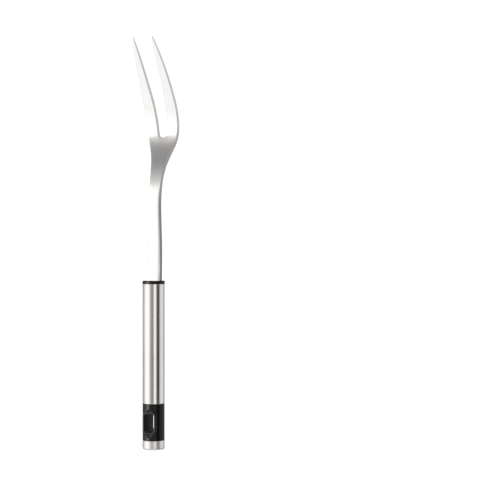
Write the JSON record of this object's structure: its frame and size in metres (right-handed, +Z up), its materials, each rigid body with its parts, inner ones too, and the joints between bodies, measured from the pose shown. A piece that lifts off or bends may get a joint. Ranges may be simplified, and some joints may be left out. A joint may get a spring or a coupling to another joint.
{
  "type": "two-tine meat fork",
  "caption": "Long two-tine serving fork with a forward-curved polished steel head, round brushed tube handle and black end section with a hanging slot.",
  "frame": {"origin": "centre of the end cap's flat bottom, on the handle axis", "axes": "+Z up the handle towards the tine tips, -Y the concave front of the tines, +X the right-hand side seen from the front"},
  "size_m": [0.0294, 0.0473, 0.3509],
  "materials": {
    "polished_steel": "polished stainless steel with fine long polishing lines",
    "plain_steel": "plain drawn steel rod",
    "black_collar": "satin black moulded plastic",
    "brushed_steel": "satin stainless steel tube, faintly warm",
    "black_hanger": "semi-gloss black moulded plastic",
    "zinc_steel": "zinc plated",
    "cap_steel": "satin drawn stainless steel cup"
  },
  "bodies": {
    "root": {"fork_head": "polished_steel", "tie_rod": "plain_steel", "front_collar": "black_collar", "handle_tube": "brushed_steel", "hanger_body": "black_hanger", "clamp_nut": "zinc_steel", "clamp_washer": "zinc_steel", "end_cap": "cap_steel"}
  },
  "joints": []
}
